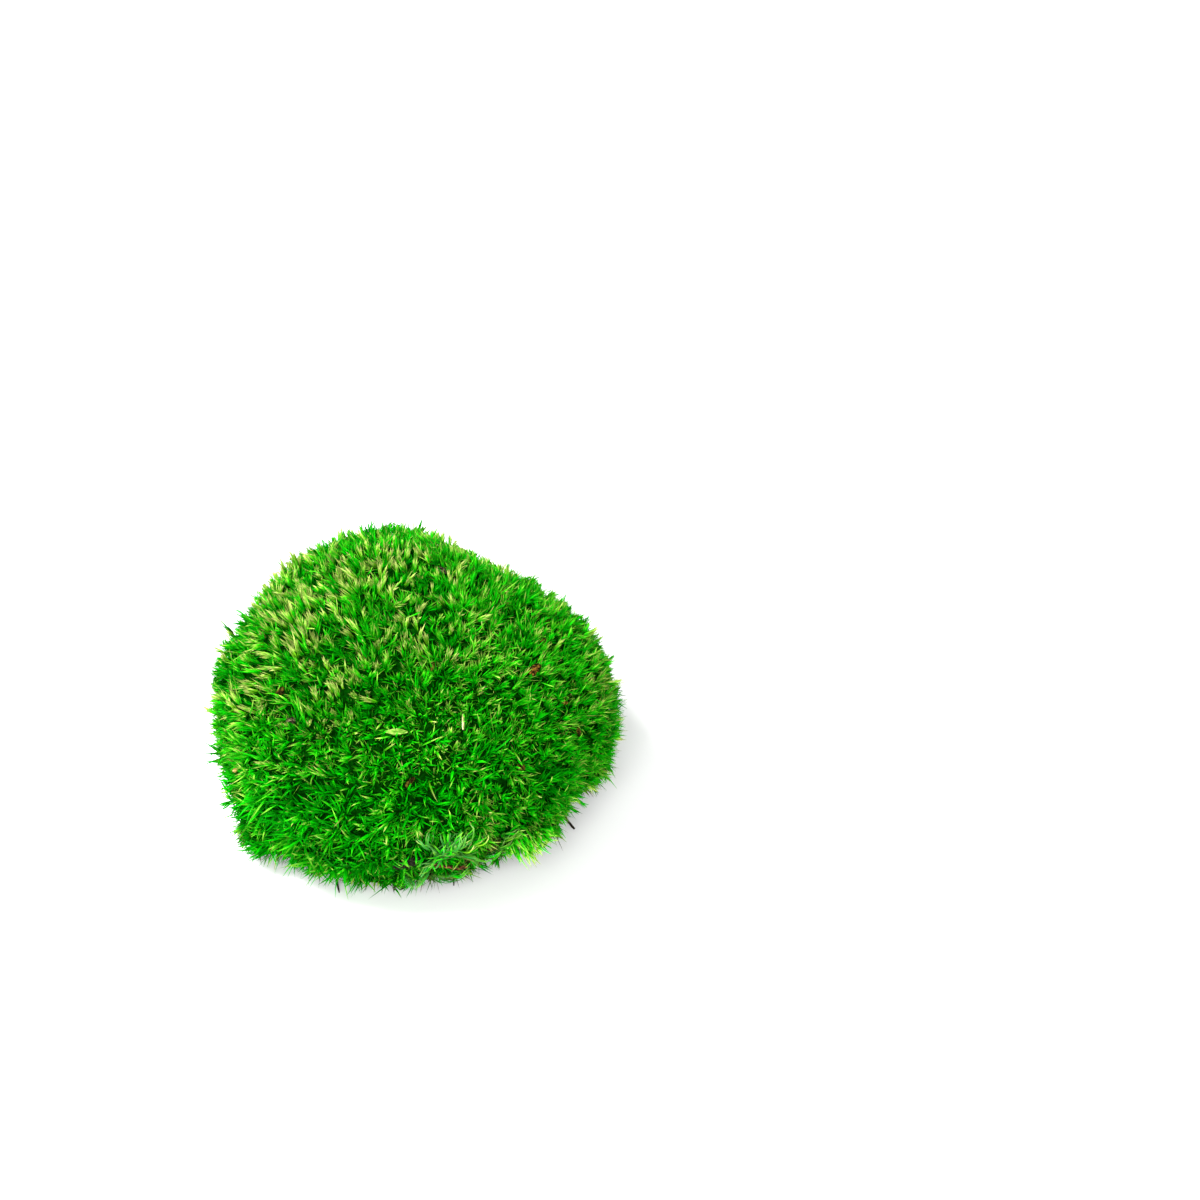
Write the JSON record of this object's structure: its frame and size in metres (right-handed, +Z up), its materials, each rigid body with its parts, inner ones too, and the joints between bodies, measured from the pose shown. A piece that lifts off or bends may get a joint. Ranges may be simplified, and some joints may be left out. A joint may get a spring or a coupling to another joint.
{
  "type": "moss clump",
  "caption": "Domed clump of green cushion moss on a flat-cut cake of humus, with bits of bark, straw and rootlets caught in it; it stands by itself as ground cover.",
  "frame": {"origin": "on the ground, under the middle of the clump's bounding box", "axes": "+Z is up; a viewer of the front looks along +Y, with +X to the right"},
  "size_m": [0.1476, 0.147, 0.0804],
  "materials": {
    "moss": "soft matt tufts of fine leaves",
    "humus": "crumbly dark humus and dead stems",
    "red_bark": "dry red-brown bark",
    "brown_bark": "dry brown bark",
    "dark_bark": "weathered dark bark",
    "bud_scale": "papery tan bud scale",
    "straw": "dry pale grass blade",
    "husk": "dry pale green bract",
    "root": "thin dark bark"
  },
  "bodies": {
    "root": {"moss_cushion": "moss", "humus_cake": "humus", "soil_clod": "humus", "bark_flake_right": "red_bark", "bark_flake_left": "brown_bark", "bark_flake_crown": "dark_bark", "bark_flake_middle": "dark_bark", "bark_flake_edge": "brown_bark", "bark_flake_low_left": "brown_bark", "bark_flake_low_right": "red_bark", "bark_flake_high_right": "red_bark", "bark_flake_far_right": "red_bark", "bud_scale_tan": "bud_scale", "bud_scale_curled": "dark_bark", "bark_strip": "red_bark", "straw": "straw", "husk": "husk", "twig": "root", "rootlet_front": "root", "rootlet_left": "root", "rootlet_right": "root"}
  },
  "joints": []
}
